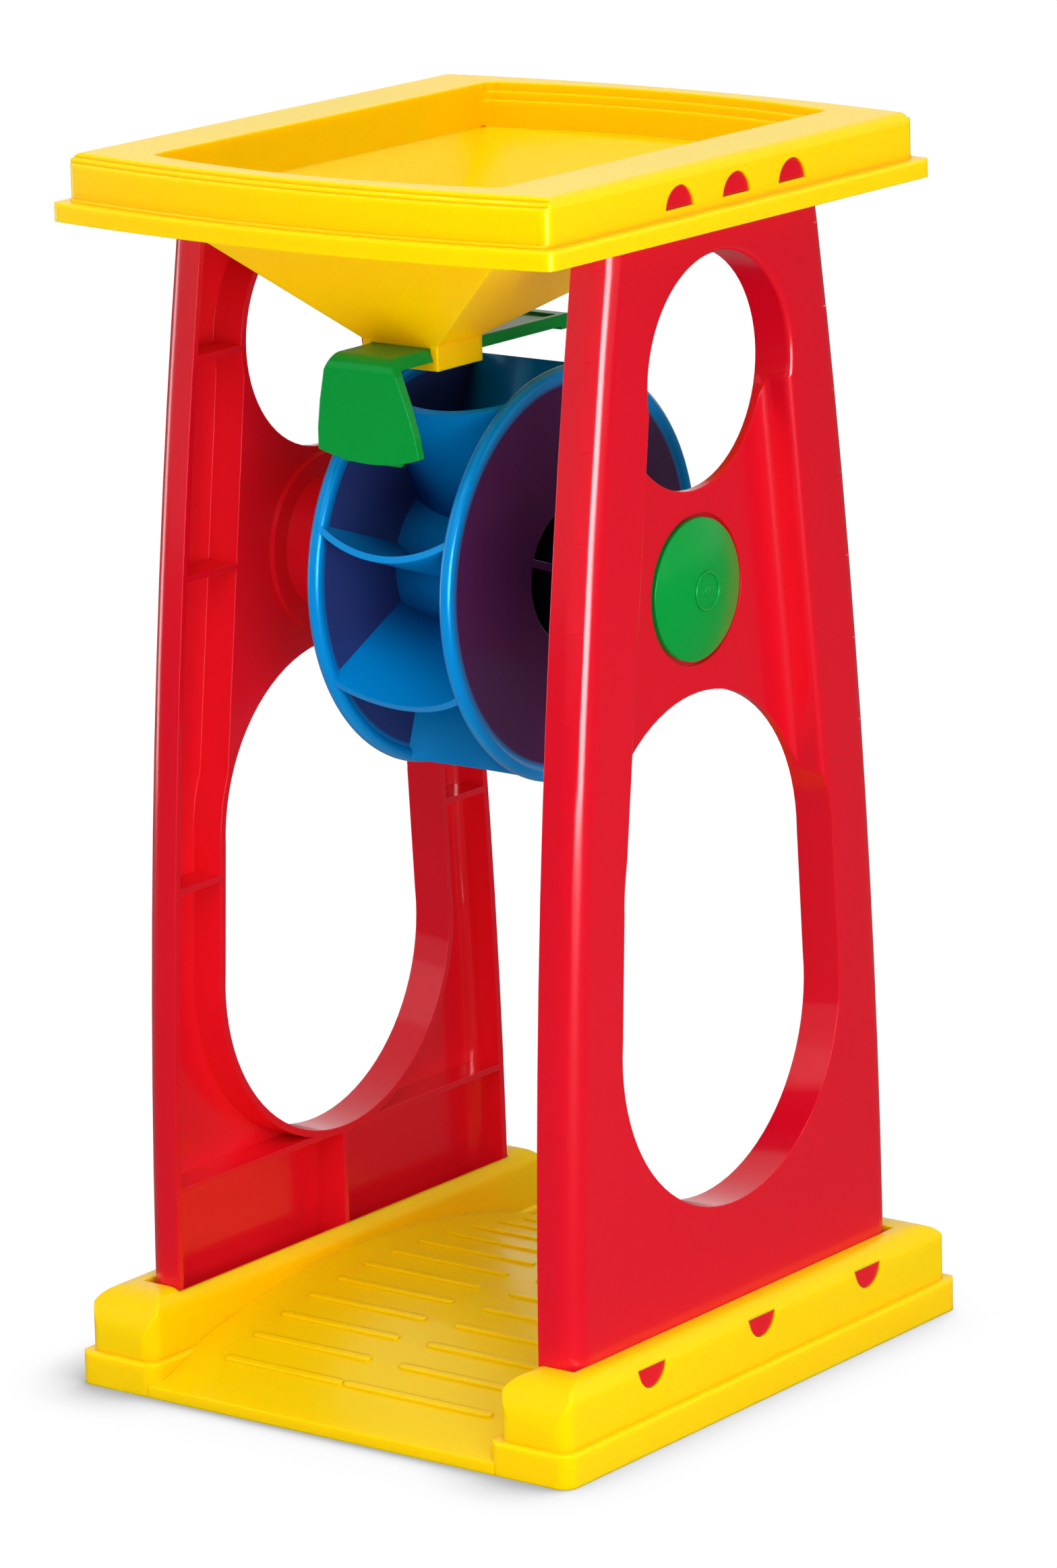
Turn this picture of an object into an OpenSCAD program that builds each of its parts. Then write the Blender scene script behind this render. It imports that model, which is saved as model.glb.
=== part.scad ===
// Sand wheel toy: a hopper on two side panels feeds a paddle wheel over an arched base.
// X runs along the axle, Y from front to back and Z up from the ground.
// The origin is the middle of the base's underside. All lengths are millimetres.

/* [Frame] */
// Distance between the outer faces of the two side panels
frame_w = 172.2; // [150:0.1:210]
// Depth of the base from front to back
base_d = 218; // [195:1:250]
// Height of the axle above the ground
axle_z = 261.3; // [235:0.1:300]
// Rise from the axle to the underside of the hopper's flange
hopper_rise = 117.7; // [105:0.1:140]

/* [Base] */
// Height of the two ridges that hold the panels
ridge_h = 31; // [27:0.5:40]
// Height of the step that runs round each ridge
step_h = 11; // [8:0.5:14]
// How far the step stands out beyond the ridge
step_out = 2.5; // [1:0.1:4]
// Ridge's outer face to panel's outer face
ridge_out = 9.7; // [7:0.1:12]
// Ridge's inner face to panel's inner face
ridge_in = 3.2; // [2.8:0.1:6]
// Rounding along the top of a ridge
ridge_r = 6.5; // [3:0.5:7]
// Rounding at the two ends of a ridge
ridge_end_r = 13; // [8:0.5:16]
// Rounding of the base's corners seen from above
base_corner_r = 5; // [3:0.5:9]
// Height of the floor at its crown
floor_crown = 22.5; // [18:0.5:26]
// Height of the floor at its front and back edges
floor_edge = 3.9; // [3:0.1:7]
// Wall thickness of the base
base_wall = 2.4; // [2:0.1:3]
// Spacing of the grip ribs on the floor
rib_pitch = 14.7; // [12:0.1:18]
// Width of a grip rib
rib_w = 2.8; // [2:0.1:4]
// Height of a grip rib above the floor
rib_h = 0.8; // [0.5:0.1:1.5]
// Length of a grip rib
rib_len = 45; // [30:1:50]
// Gap between the two columns of grip ribs
rib_gap = 14.6; // [8:0.1:20]

/* [Panels] */
// Depth of a panel from its outer to its inner face
panel_t = 13.9; // [12:0.1:16]
// Wall thickness of the panels
panel_wall = 2.4; // [2:0.1:3]
// Base's end to the panel's foot
foot_in = 20.5; // [15:0.5:25]
// How much each edge draws in from the ground to the hopper
panel_taper = 31.2; // [20:0.1:40]
// Rounding of the panel's outer long edges
panel_r = 8; // [3:0.5:9]
// Height of the panel's lower edge, inside the ridge
panel_z = 13; // [11:0.5:15]
// Hopper's flange to the top of the upper window
band_top = 10; // [8:0.5:16]
// Axle to the lower edge of the upper window
web_up = 31.7; // [31:0.1:36]
// Axle to the top of the lower window
web_down = 33; // [31:0.5:38]
// Ridge's top to the bottom of the lower window
band_low = 32.3; // [25:0.1:40]
// Radius of the lower window's bottom
low_r = 59.5; // [52:0.5:62]
// Radius of the lower window's top
low_top_r = 56.8; // [50:0.1:60]
// Rounding of the windows' outer rims
rim_r = 2.2; // [1:0.1:2.3]
// Depth of the sunk web between the windows
web_sink = 11.1; // [8:0.1:11.2]
// Rounding of the sunk web's upper edges
web_top_r = 3; // [1.5:0.1:4]
// Hollow at the foot of the web's side walls
web_foot_r = 3.5; // [1.5:0.1:5]
// How far the web's side walls stand inside the windows' widest points
web_draw = 2; // [1:0.1:3]
// Thickness of the panel's inner ribs
panel_rib = 2; // [1.6:0.1:2.4]

/* [Snap tabs] */
// Radius of a snap tab
tab_r = 7.2; // [5:0.1:8]
// Height of a snap tab
tab_h = 6.6; // [4:0.1:7]
// Spacing of the tabs in the base
tab_pitch = 60; // [40:1:64]
// Spacing of the tabs in the hopper
top_tab_pitch = 30; // [20:1:34]
// Flat edge of a base tab below the ridge's top
tab_drop = 4.5; // [3:0.1:5]
// Flat edge of a hopper tab above the box's lower edge
top_tab_up = 2.9; // [2:0.1:5]
// How far a tab's face lies inside its window
tab_sink = 0.8; // [0.3:0.1:1.5]

/* [Hopper] */
// Panel's outer face to the hopper box's outer face
box_out = 7; // [5:0.1:9]
// How far the flange stands out beyond the box
flange_out = 3.9; // [2:0.1:6]
// Height of the flange
flange_h = 6; // [4:0.1:8]
// Height of the box above the flange
box_h = 15; // [14:0.5:24]
// Depth of the flange at its corners, front to back
hopper_d = 203; // [180:1:230]
// How far the front and back bow outward in the middle
hopper_bow = 9; // [4:0.5:14]
// Width of the rim along the two sides
rim_side = 25.2; // [23:0.1:27]
// Width of the rim along the front and back
rim_front = 13.5; // [12:0.5:16]
// Wall thickness of the hopper
hopper_wall = 2.2; // [1.8:0.1:2.8]
// Rounding of the hopper's outer corners
hopper_corner_r = 3.5; // [3:0.5:6]
// Rounding of the rim's outer edge
rim_edge_r = 3.5; // [2:0.1:4.5]
// Rounding of the flange's edge
flange_r = 1; // [0.6:0.1:1.2]
// Number of fine steps along the rim's front and back edges
rim_steps = 2; // [1:1:3]
// Depth of one of these steps, outside and inside the rim
rim_step_d = 1.5; // [1.2:0.1:2]
// Height of one outer step
rim_step_h = 1.5; // [1:0.1:2]
// Height of one inner step
basin_step_h = 2.8; // [2:0.1:3.5]
// Rounding of the fine steps
rim_step_r = 0.8; // [0.4:0.1:0.9]
// Height of the ledge above the flange's front and back
ledge_h = 1; // [0.6:0.1:1.5]
// Depth of the straight walls inside the hopper
basin_wall_h = 14.5; // [12:0.5:20]
// Width of the outlet across the toy
outlet_w = 29.2; // [26:0.1:34]
// Depth of the outlet from front to back
outlet_d = 23; // [20:0.1:28]
// Axle to the middle of the outlet, towards the front
outlet_y = 39.5; // [30:0.5:46]
// Height of the outlet's straight part
outlet_h = 8; // [7.4:0.1:12]
// Wheel's top to the outlet's lower edge
outlet_gap = 5; // [3:0.5:10]

/* [Gate slide] */
// Thickness of the gate
gate_t = 3.8; // [3:0.1:4.2]
// Wall of the outlet at the gate's sides
gate_side = 3; // [2.4:0.1:4]
// Outlet's lower edge to the gate's underside
gate_up = 3; // [2.4:0.1:3.5]
// Outlet's front face to the handle's front face
arm_len = 21; // [18:0.5:28]
// Outlet's back face to the gate's back end
tail_len = 50; // [42:0.5:56]
// Length of the stop at the gate's back end
stop_len = 4; // [3:0.1:6]
// How far the stop hangs below the gate
stop_drop = 1; // [0.8:0.1:2]
// Width of the hole in the gate
hole_w = 17; // [12:0.1:18]
// Length of the hole in the gate
hole_d = 14; // [10:0.1:15]
// Height of the handle
handle_h = 34.5; // [28:0.5:40]
// Width of the handle at its lower edge
handle_w = 40; // [32:0.5:44]
// How far the handle's lower edge leans back
handle_lean = 4; // [0:0.1:6]
// Outer rounding where the arm turns into the handle
handle_bend = 5; // [4.6:0.1:8]

/* [Wheel] */
// Radius of the wheel
wheel_r = 66.9; // [60:0.1:70]
// Width of the wheel over its two rims
wheel_w = 56.8; // [50:0.1:62]
// Thickness of a disc's rounded rim
bead_t = 4.8; // [4:0.1:6]
// Thickness of a disc
disc_t = 2.4; // [2:0.1:3]
// Number of paddles
paddles = 8; // [6:1:10]
// Angle of the first paddle
paddle_turn = 26.5; // [0:0.5:44]
// Thickness of a paddle
paddle_t = 2.2; // [1.8:0.1:3]
// How far a paddle sags in its middle
paddle_sag = 7.7; // [4:0.1:9]
// Rim's edge to a paddle's tip
tip_in = 0.9; // [0.6:0.1:2]
// Outer radius of the hollow core
core_r = 24.6; // [23:0.1:27]
// Outer radius of the hub tube
hub_r = 8.5; // [7.5:0.1:10]
// Thickness of a spoke inside the core
spoke_t = 2.6; // [2:0.1:3]

/* [Axle and caps] */
// Radius of the axle
axle_r = 5; // [4:0.1:5.5]
// Length of the bearing boss on a panel's inner side
boss_len = 25.2; // [22:0.1:28]
// Outer radius of the bearing boss
boss_r = 23; // [21.5:0.1:24]
// Radius of the raised pad round the boss
pad_r = 29.4; // [28.6:0.1:30]
// Height of the raised pad
pad_h = 1.6; // [1:0.1:2.4]
// Radius of an axle cap
cap_r = 22.8; // [22:0.1:24]
// Height of a cap's straight edge
cap_edge = 2.4; // [1.5:0.1:3]
// Rise of a cap's domed face
cap_dome = 4; // [1:0.1:5]
// Depth of the round seat that a cap sits in
cap_seat = 2; // [1:0.1:2.4]
// Length of a cap's plug inside the boss
plug_len = 9; // [6:0.5:12]
// Outer radius of a cap's socket
socket_r = 8; // [7:0.1:10]
// Length of axle held in a cap's socket
socket_grip = 11; // [8:0.5:14]

/* [Clearances] */
// Gap round a piece in the slot or window that holds it
seat_gap = 0.3; // [0.2:0.05:0.5]
// Radial play of the wheel's bore on the axle
run_play = 0.06; // [0.03:0.01:0.1]
// Radial play of pressed and plugged fits
press_play = 0.02; // [0.01:0.01:0.05]
// End play of the wheel between the bosses
end_play = 0.4; // [0.3:0.05:0.8]

/* [Hidden] */
yellow = "#ffd400";
red = "#d70c23";
green = "#00963c";
blue = "#1276be";

// Overrun of a cut beyond the face it opens
over = 1;
// Embedding of a piece of one moulding in the next
root = 0.4;
$fn = 72;
far_fn = 720;

// Places across the toy
panel_out = frame_w/2;
panel_in = panel_out - panel_t;
ridge_x = panel_out + ridge_out;
ridge_inner = panel_in - ridge_in;
base_x = ridge_x + step_out;
box_x = panel_out + box_out;
flange_x = box_x + flange_out;
basin_x = box_x - rim_side;

// Places from front to back
base_y = base_d/2;
ridge_y = base_y - step_out;
foot_y = base_y - foot_in;
flange_y = hopper_d/2;
box_y = flange_y - flange_out;
basin_y = box_y - rim_front;

// Heights
hopper_z = axle_z + hopper_rise;
box_z = hopper_z + flange_h;
top_z = box_z + box_h;
panel_top = top_z - hopper_wall;
ledge_z = top_z - basin_wall_h;
outlet_z = axle_z + wheel_r + outlet_gap;
funnel_z = outlet_z + outlet_h;
gate_z = outlet_z + gate_up;

// The panel's long edges and the base's floor are arcs
edge_r = (hopper_z*hopper_z + panel_taper*panel_taper)/(2*panel_taper);
floor_rise = floor_crown - floor_edge;
floor_r = (base_y*base_y + floor_rise*floor_rise)/(2*floor_rise);

// Half width of a panel at a height
function edge_y(z) = foot_y - edge_r + sqrt(edge_r*edge_r - z*z);

// Windows
up_r = (hopper_z - band_top - axle_z - web_up)/2;
up_z = axle_z + web_up + up_r;
low_z = ridge_h + band_low + low_r;
low_top_z = axle_z - web_down - low_top_r;

// Base: two hollow ridges, the steps round them and an arched floor
module rounded_box(x, y, h, top_r, end_r, corner_r) {
  // Long sides rounded by top_r, ends by end_r and plan corners by corner_r
  intersection() {
    rotate([90, 0, 0]) linear_extrude(2*y + over, center = true) arch_outline(x, h, top_r);
    rotate([90, 0, 90]) linear_extrude(2*x + over, center = true) arch_outline(y, h, end_r);
    linear_extrude(h) plan_outline(x, y, corner_r);
  }
}
module arch_outline(x, h, r) {
  union() {
    translate([-x, 0]) square([2*x, h - r]);
    translate([r - x, 0]) square([2*(x - r), h]);
    for (side = [-1, 1]) translate([side*(x - r), h - r]) circle(r);
  }
}
module plan_outline(x, y, r) {
  union() {
    square([2*x, 2*(y - r)], center = true);
    square([2*(x - r), 2*y], center = true);
    for (sx = [-1, 1], sy = [-1, 1]) translate([sx*(x - r), sy*(y - r)]) circle(r);
  }
}
module ridge_form(x1, x2, inset, step) {
  // Outer or, with an inset, inner form of one ridge and of the step round it
  middle = (x1 + x2)/2;
  half = (x2 - x1)/2 - inset;
  translate([middle, 0, 0]) {
    rounded_box(half, ridge_y - inset, ridge_h - inset, ridge_r - inset, ridge_end_r - inset,
                base_corner_r - inset);
    rounded_box(half + step, base_y - inset, step_h - inset, step_out/2, step_out/2,
                base_corner_r - inset);
  }
}
module floor_arc(r, half_x) {
  translate([0, 0, floor_crown - floor_r]) rotate([0, 90, 0])
    cylinder(r = r, h = 2*half_x, center = true, $fn = far_fn);
}
module arched_floor() {
  difference() {
    intersection() {
      floor_arc(floor_r, ridge_inner + root);
      translate([-base_x, -base_y, 0]) cube([2*base_x, 2*base_y, ridge_h]);
    }
    difference() {
      translate([0, 0, -over]) floor_arc(floor_r + over - base_wall, base_x);
      for (side = [-1, 1]) translate([-base_x, side*(base_y - base_wall/2) - base_wall/2, -over])
        cube([2*base_x, base_wall, ridge_h]);
    }
  }
}
module grip_rib(turn, x0, len) {
  // A low bar with round ends that lies on the arch
  translate([0, 0, floor_crown - floor_r]) rotate([turn, 0, 0])
    translate([x0, 0, floor_r - root]) {
      translate([0, -rib_w/2, 0]) cube([len, rib_w, root + rib_h]);
      for (x = [0, len]) translate([x, 0, 0]) cylinder(d = rib_w, h = root + rib_h, $fn = 24);
    }
}
module grip_ribs() {
  rows = floor((base_y - rib_pitch)/rib_pitch);
  reach = min(rib_len, ridge_inner - step_out - rib_gap/2 - 2*rib_w);
  for (row = [-rows:rows]) {
    turn = -asin(row*rib_pitch/floor_r);
    grip_rib(turn, -rib_gap/2 - reach, reach);
    // The right-hand rib of the front row starts nearer the middle
    early = row == -rows ? rib_gap*0.75 : 0;
    grip_rib(turn, rib_gap/2 - early, reach + early);
  }
}
module tab_outline(grow) {
  // Half disc, flat edge up
  intersection() {
    translate([0, tab_r - tab_h]) circle(tab_r + grow);
    translate([-tab_r - over, -tab_h - over]) square([2*(tab_r + over), tab_h + over + grow]);
  }
}
module tab_prism(y, z, x1, x2, flip, grow) {
  translate([x1, y, z]) rotate([90, 0, 90]) linear_extrude(x2 - x1)
    scale([1, flip]) tab_outline(grow);
}
module panel_shelf(side) {
  // Cross walls inside a ridge that the panel stands on
  for (share = [-0.88, -0.3, 0.3, 0.88])
    translate([side > 0 ? ridge_inner + base_wall/2 : -ridge_x + base_wall/2,
               share*foot_y - base_wall/2, 0])
      cube([ridge_x - ridge_inner - base_wall, base_wall, panel_z]);
}
module base() {
  color(yellow) difference() {
    union() {
      difference() {
        union() {
          for (side = [0, 1]) mirror([side, 0, 0]) ridge_form(ridge_inner, ridge_x, 0, step_out);
          arched_floor();
          grip_ribs();
        }
        for (side = [0, 1]) mirror([side, 0, 0]) translate([0, 0, -root])
          ridge_form(ridge_inner, ridge_x, base_wall, step_out);
      }
      for (side = [-1, 1]) panel_shelf(side);
    }
    for (side = [0, 1]) mirror([side, 0, 0]) {
      // Slot that the panel stands in
      slot_y = edge_y(panel_z) + seat_gap;
      translate([panel_in - seat_gap, -slot_y, ridge_h - ridge_r])
        cube([panel_t + 2*seat_gap, 2*slot_y, ridge_r + over]);
      // Windows that the snap tabs show through
      for (i = [-1:1])
        tab_prism(i*tab_pitch, ridge_h - tab_drop, panel_out, ridge_x + over, 1, seat_gap);
    }
  }
}

// Panels: hollow mouldings open on the inner side
module edge_disc(r, x1, x2, round_r) {
  // One of the two large discs whose overlap gives the panel its outline
  rotate([0, 90, 0]) rotate_extrude($fn = far_fn) union() {
    translate([0, x1]) square([r, x2 - x1 - round_r]);
    translate([0, x1]) square([r - round_r, x2 - x1]);
    translate([r - round_r, x2 - round_r]) circle(round_r, $fn = 48);
  }
}
module panel_body(inset, x1, x2, z1, z2, round_r) {
  intersection() {
    translate([0, foot_y - edge_r, 0]) edge_disc(edge_r - inset, x1, x2, round_r);
    translate([0, edge_r - foot_y, 0]) edge_disc(edge_r - inset, x1, x2, round_r);
    translate([x1 - over, -foot_y, z1]) cube([x2 - x1 + 2*over, 2*foot_y, z2 - z1]);
  }
}
module across(x1, x2) {
  // Extrudes a shape drawn in front view, Y to the right and Z up, from x1 to x2
  translate([x1, 0, 0]) rotate([90, 0, 90]) linear_extrude(x2 - x1) children();
}
module low_window_sides(grow) {
  // Straight sides that run into the lower window's two arcs, a hair inside their tangent
  tilt = asin((low_r - low_top_r)/max(low_top_z - low_z, low_r/4));
  r1 = low_r + grow - root/4;
  r2 = low_top_r + grow - root/4;
  low = [r1*cos(tilt), low_z + r1*sin(tilt)];
  top = [r2*cos(tilt), low_top_z + r2*sin(tilt)];
  polygon([[-low.x, low.y], low, top, [-top.x, top.y]]);
}
module windows(grow, x1, x2) {
  across(x1, x2) {
    translate([0, up_z]) circle(up_r + grow, $fn = 144);
    translate([0, low_z]) circle(low_r + grow, $fn = 144);
    translate([0, low_top_z]) circle(low_top_r + grow, $fn = 144);
    low_window_sides(grow);
  }
}
module round_cut(r) {
  // Section that rounds an edge of the outer face; the material lies towards +Y
  difference() {
    translate([panel_out - r, -over]) square([r + over, r + over]);
    translate([panel_out - r + root/4, r]) circle(r, $fn = 32);
  }
}
module rim_flare(r, z) {
  // Cutter that rounds the outer rim of a window's arc
  translate([panel_out - rim_r, 0, z]) rotate([0, 90, 0]) rotate_extrude($fn = 144)
    difference() {
      translate([r - over, 0]) square([rim_r + over, rim_r + over]);
      translate([r + rim_r, root/4]) circle(rim_r, $fn = 32);
    }
}
module side_flares() {
  // The same along the lower window's straight sides
  tilt = asin((low_r - low_top_r)/max(low_top_z - low_z, low_r/4));
  r1 = low_r - root/4;
  for (side = [0, 1]) mirror([0, side, 0])
    translate([0, r1*cos(tilt), low_z + r1*sin(tilt)]) rotate([tilt, 0, 0])
      linear_extrude((low_top_z - low_z)*cos(tilt)) round_cut(rim_r);
}
module pocket_side() {
  // Space inside one side wall of the sunk web, with a round top edge and a hollow foot
  web_x = panel_out - web_sink;
  top_y = up_r - web_draw;
  low_y = low_top_r - web_draw;
  lean = atan((low_y - top_y)/(up_z - low_top_z));
  reach = 3*low_top_r;
  translate([0, low_y, low_top_z]) rotate([lean, 0, 0])
    translate([0, 0, -reach/4]) linear_extrude(up_z - low_top_z + reach/2) union() {
      translate([web_x + web_foot_r, -reach])
        square([web_sink - web_foot_r + over, reach]);
      translate([web_x, -reach]) square([web_foot_r + root, reach - web_foot_r]);
      translate([web_x + web_foot_r, -web_foot_r]) circle(web_foot_r, $fn = 32);
      round_cut(web_top_r);
    }
}
module web_pocket() {
  intersection() {
    pocket_side();
    mirror([0, 1, 0]) pocket_side();
    translate([0, -foot_y, low_top_z]) cube([2*panel_out, 2*foot_y, up_z - low_top_z]);
  }
}
module web_outline(grow) {
  // Area between the windows that is sunk, seen from the side
  polygon([[-low_top_r + web_draw - grow, low_top_z], [low_top_r - web_draw + grow, low_top_z],
           [up_r - web_draw + grow, up_z], [-up_r + web_draw - grow, up_z]]);
}
module panel_ribs(x1, x2) {
  top_band = up_z;
  for (z = [low_z + low_r*0.64, axle_z, top_band])
    translate([x1, -foot_y, z - panel_rib/2]) cube([x2 - x1, 2*foot_y, panel_rib]);
  translate([x1, -foot_y, low_z - low_r - panel_rib]) cube([x2 - x1, 2*foot_y, panel_rib]);
  translate([x1, -panel_rib/2, 0]) cube([x2 - x1, panel_rib, low_z - low_r]);
}
module panel_solid_zones(x1, x2) {
  windows(panel_wall, x1, x2);
  across(x1, x2) web_outline(panel_wall);
  panel_ribs(x1, x2);
}
module panel() {
  web_x = panel_out - web_sink;
  pad_x = panel_in - pad_h;
  boss_x = panel_in - boss_len;
  color(red) difference() {
    union() {
      difference() {
        panel_body(0, panel_in, panel_out, panel_z, panel_top, panel_r);
        difference() {
          panel_body(panel_wall, panel_in - over, panel_out - panel_wall,
                     panel_z + panel_wall, panel_top - panel_wall, panel_r - panel_wall);
          panel_solid_zones(panel_in - 2*over, panel_out);
        }
        web_pocket();
        windows(0, panel_in - over, panel_out + over);
        rim_flare(up_r, up_z);
        rim_flare(low_r, low_z);
        rim_flare(low_top_r, low_top_z);
        side_flares();
      }
      // Raised pad and bearing boss
      translate([pad_x, 0, axle_z]) rotate([0, 90, 0])
        cylinder(r = pad_r, h = web_x - pad_x - root);
      translate([boss_x, 0, axle_z]) rotate([0, 90, 0])
        cylinder(r = boss_r, h = web_x - boss_x - root);
      // Snap tabs
      for (i = [-1:1]) {
        tab_prism(i*tab_pitch, ridge_h - tab_drop, panel_out - root, ridge_x - tab_sink, 1, 0);
        tab_prism(i*top_tab_pitch, box_z + top_tab_up, panel_out - root, box_x - tab_sink,
                  -1, 0);
      }
    }
    // Seat of the cap, the hollow boss and the hole for the axle
    translate([web_x - cap_seat, 0, axle_z]) rotate([0, 90, 0])
      cylinder(r = cap_r + 5*seat_gap, h = cap_seat + over);
    translate([boss_x + panel_wall, 0, axle_z]) rotate([0, 90, 0])
      cylinder(r = boss_r - panel_wall, h = boss_len + panel_t);
    translate([boss_x - over, 0, axle_z]) rotate([0, 90, 0])
      cylinder(r = axle_r + run_play, h = panel_wall + 2*over);
  }
}
module right_panel() panel();
module left_panel() mirror([1, 0, 0]) panel();

// Hopper: a box with bowed front and back on a flange, with an off-centre funnel below
module disc_section(r, h, edge) {
  square([r, h - edge]);
  square([r - edge, h]);
  translate([r - edge, h - edge]) circle(edge, $fn = 48);
}
module bow_disc(r, yc, z1, z2, edge, steps) {
  // Large upright disc whose rim gives the bow and its rounded or stepped upper edge
  translate([0, yc, z1]) rotate_extrude($fn = far_fn) union() {
    disc_section(r, z2 - z1 - steps*rim_step_h, edge);
    if (steps > 0) for (i = [1:steps])
      disc_section(r - i*rim_step_d, z2 - z1 - (steps - i)*rim_step_h, rim_step_r);
  }
}
module bowed_block(x, y, corner, z1, z2, edge, steps = 0) {
  // Block with straight sides at x, ends at y that bow out and rounded corners and upper edge
  bow_r = (x*x + hopper_bow*hopper_bow)/(2*hopper_bow);
  yc = y + hopper_bow - bow_r;
  cx = x - corner;
  cy = yc + sqrt((bow_r - corner)*(bow_r - corner) - cx*cx) - root/4;
  intersection() {
    bow_disc(bow_r, yc, z1, z2, steps > 0 ? rim_step_r : edge, steps);
    bow_disc(bow_r, -yc, z1, z2, steps > 0 ? rim_step_r : edge, steps);
    translate([0, 0, z1]) rotate([90, 0, 0]) linear_extrude(4*y, center = true)
      arch_outline(x, z2 - z1, edge);
    translate([0, 0, z1 - over]) linear_extrude(z2 - z1 + 2*over) union() {
      square([2*cx, 4*y], center = true);
      square([2*x, 2*cy], center = true);
      for (sx = [-1, 1], sy = [-1, 1]) translate([sx*cx, sy*cy]) circle(corner);
    }
  }
}
module plate(x, y, z, h) {
  translate([-x, -y, z]) cube([2*x, 2*y, h]);
}
module outlet_plate(wall_x, wall_y, z, h) {
  translate([0, -outlet_y, 0]) plate(outlet_w/2 - wall_x, outlet_d/2 - wall_y, z, h);
}
module hopper_shell() {
  inner_r = rim_edge_r - hopper_wall/2;
  difference() {
    union() {
      bowed_block(box_x, box_y, hopper_corner_r, hopper_z, top_z, rim_edge_r, rim_steps);
      bowed_block(box_x - root, box_y + ledge_h, hopper_corner_r, hopper_z, box_z + ledge_h,
                  flange_r/2);
      bowed_block(flange_x, flange_y, hopper_corner_r, hopper_z, box_z, flange_r);
    }
    bowed_block(box_x - hopper_wall, box_y - hopper_wall, hopper_corner_r - hopper_wall/2,
                hopper_z - over, top_z - hopper_wall, inner_r);
    bowed_block(flange_x - hopper_wall, flange_y - hopper_wall, hopper_corner_r - hopper_wall/2,
                hopper_z - over, box_z - hopper_wall, flange_r);
  }
}
module funnel(wall, side_wall, end_wall, down) {
  hull() {
    plate(basin_x + wall, basin_y + wall, ledge_z - down, root);
    outlet_plate(side_wall, end_wall, funnel_z, root);
  }
}
module hopper() {
  color(yellow) difference() {
    union() {
      hopper_shell();
      // Straight walls of the basin, the funnel and the outlet
      bowed_block(basin_x + hopper_wall, basin_y + hopper_wall, hopper_corner_r + hopper_wall/2,
                  ledge_z - hopper_wall, top_z - root, flange_r);
      bowed_block(basin_x + hopper_wall/2, basin_y + hopper_wall + rim_steps*rim_step_d,
                  hopper_corner_r, top_z - rim_steps*basin_step_h - hopper_wall, top_z - root,
                  flange_r);
      funnel(hopper_wall, 0, 0, hopper_wall);
      outlet_plate(0, 0, outlet_z, outlet_h + root);
    }
    bowed_block(basin_x, basin_y, hopper_corner_r, ledge_z, top_z + over + flange_r, flange_r);
    for (i = [1:rim_steps])
      bowed_block(basin_x - root, basin_y + i*rim_step_d, hopper_corner_r,
                  top_z - (rim_steps + 1 - i)*basin_step_h, top_z + over + flange_r, flange_r);
    funnel(0, gate_side, hopper_wall, 0);
    outlet_plate(gate_side, hopper_wall, outlet_z - over, outlet_h + 2*over);
    // Slots that the gate slides through
    translate([0, -outlet_y, 0])
      plate(outlet_w/2 - gate_side, outlet_d/2 + over, gate_z - seat_gap, gate_t + 2*seat_gap);
    // Windows that the snap tabs show through
    for (side = [0, 1], i = [-1:1]) mirror([side, 0, 0])
      tab_prism(i*top_tab_pitch, box_z + top_tab_up, box_x - hopper_wall - over, box_x + over,
                -1, seat_gap);
  }
}

// Gate slide: a plate with a hole, a turned-down handle and a stop at its tail
module bend_outline(front, foot, end, top, bottom, r) {
  // Side view of a block whose upper front edge is rounded and whose front leans back below
  union() {
    polygon([[foot, bottom], [end, bottom], [end, top - r], [front, top - r]]);
    translate([front + r, top - r - over]) square([end - front - r, r + over]);
    translate([front + r, top - r]) circle(r);
  }
}
module gate_profile() {
  // Side view, Y to the right and Z up, from the gate's underside
  front = -outlet_y - outlet_d/2 - arm_len;
  tail = -outlet_y + outlet_d/2 + tail_len;
  bottom = gate_t - handle_h;
  union() {
    difference() {
      bend_outline(front, front + handle_lean, tail, gate_t, bottom, handle_bend);
      bend_outline(front + gate_t, front + handle_lean + 0.8*gate_t, tail + over, 0,
                   bottom - over, handle_bend - gate_t);
    }
    translate([tail - stop_len, -stop_drop]) square([stop_len, gate_t + stop_drop]);
  }
}
module handle_outline() {
  // Front view of the gate: arm width at the top, flared sides and a round lower edge
  arm = outlet_w/2 - gate_side - seat_gap;
  half = handle_w/2;
  flare = half - arm;
  low = gate_t - handle_h;
  round_r = (half*half + tab_h*tab_h/4)/tab_h;
  intersection() {
    polygon([[-half, low], [half, low], [arm + 0.88*flare, -0.6*handle_h],
             [arm + 0.64*flare, -0.33*handle_h], [arm + 0.3*flare, -0.04*handle_h],
             [arm, gate_t], [-arm, gate_t], [-arm - 0.3*flare, -0.04*handle_h],
             [-arm - 0.64*flare, -0.33*handle_h], [-arm - 0.88*flare, -0.6*handle_h]]);
    translate([0, low + round_r]) circle(round_r, $fn = 144);
  }
}
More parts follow.
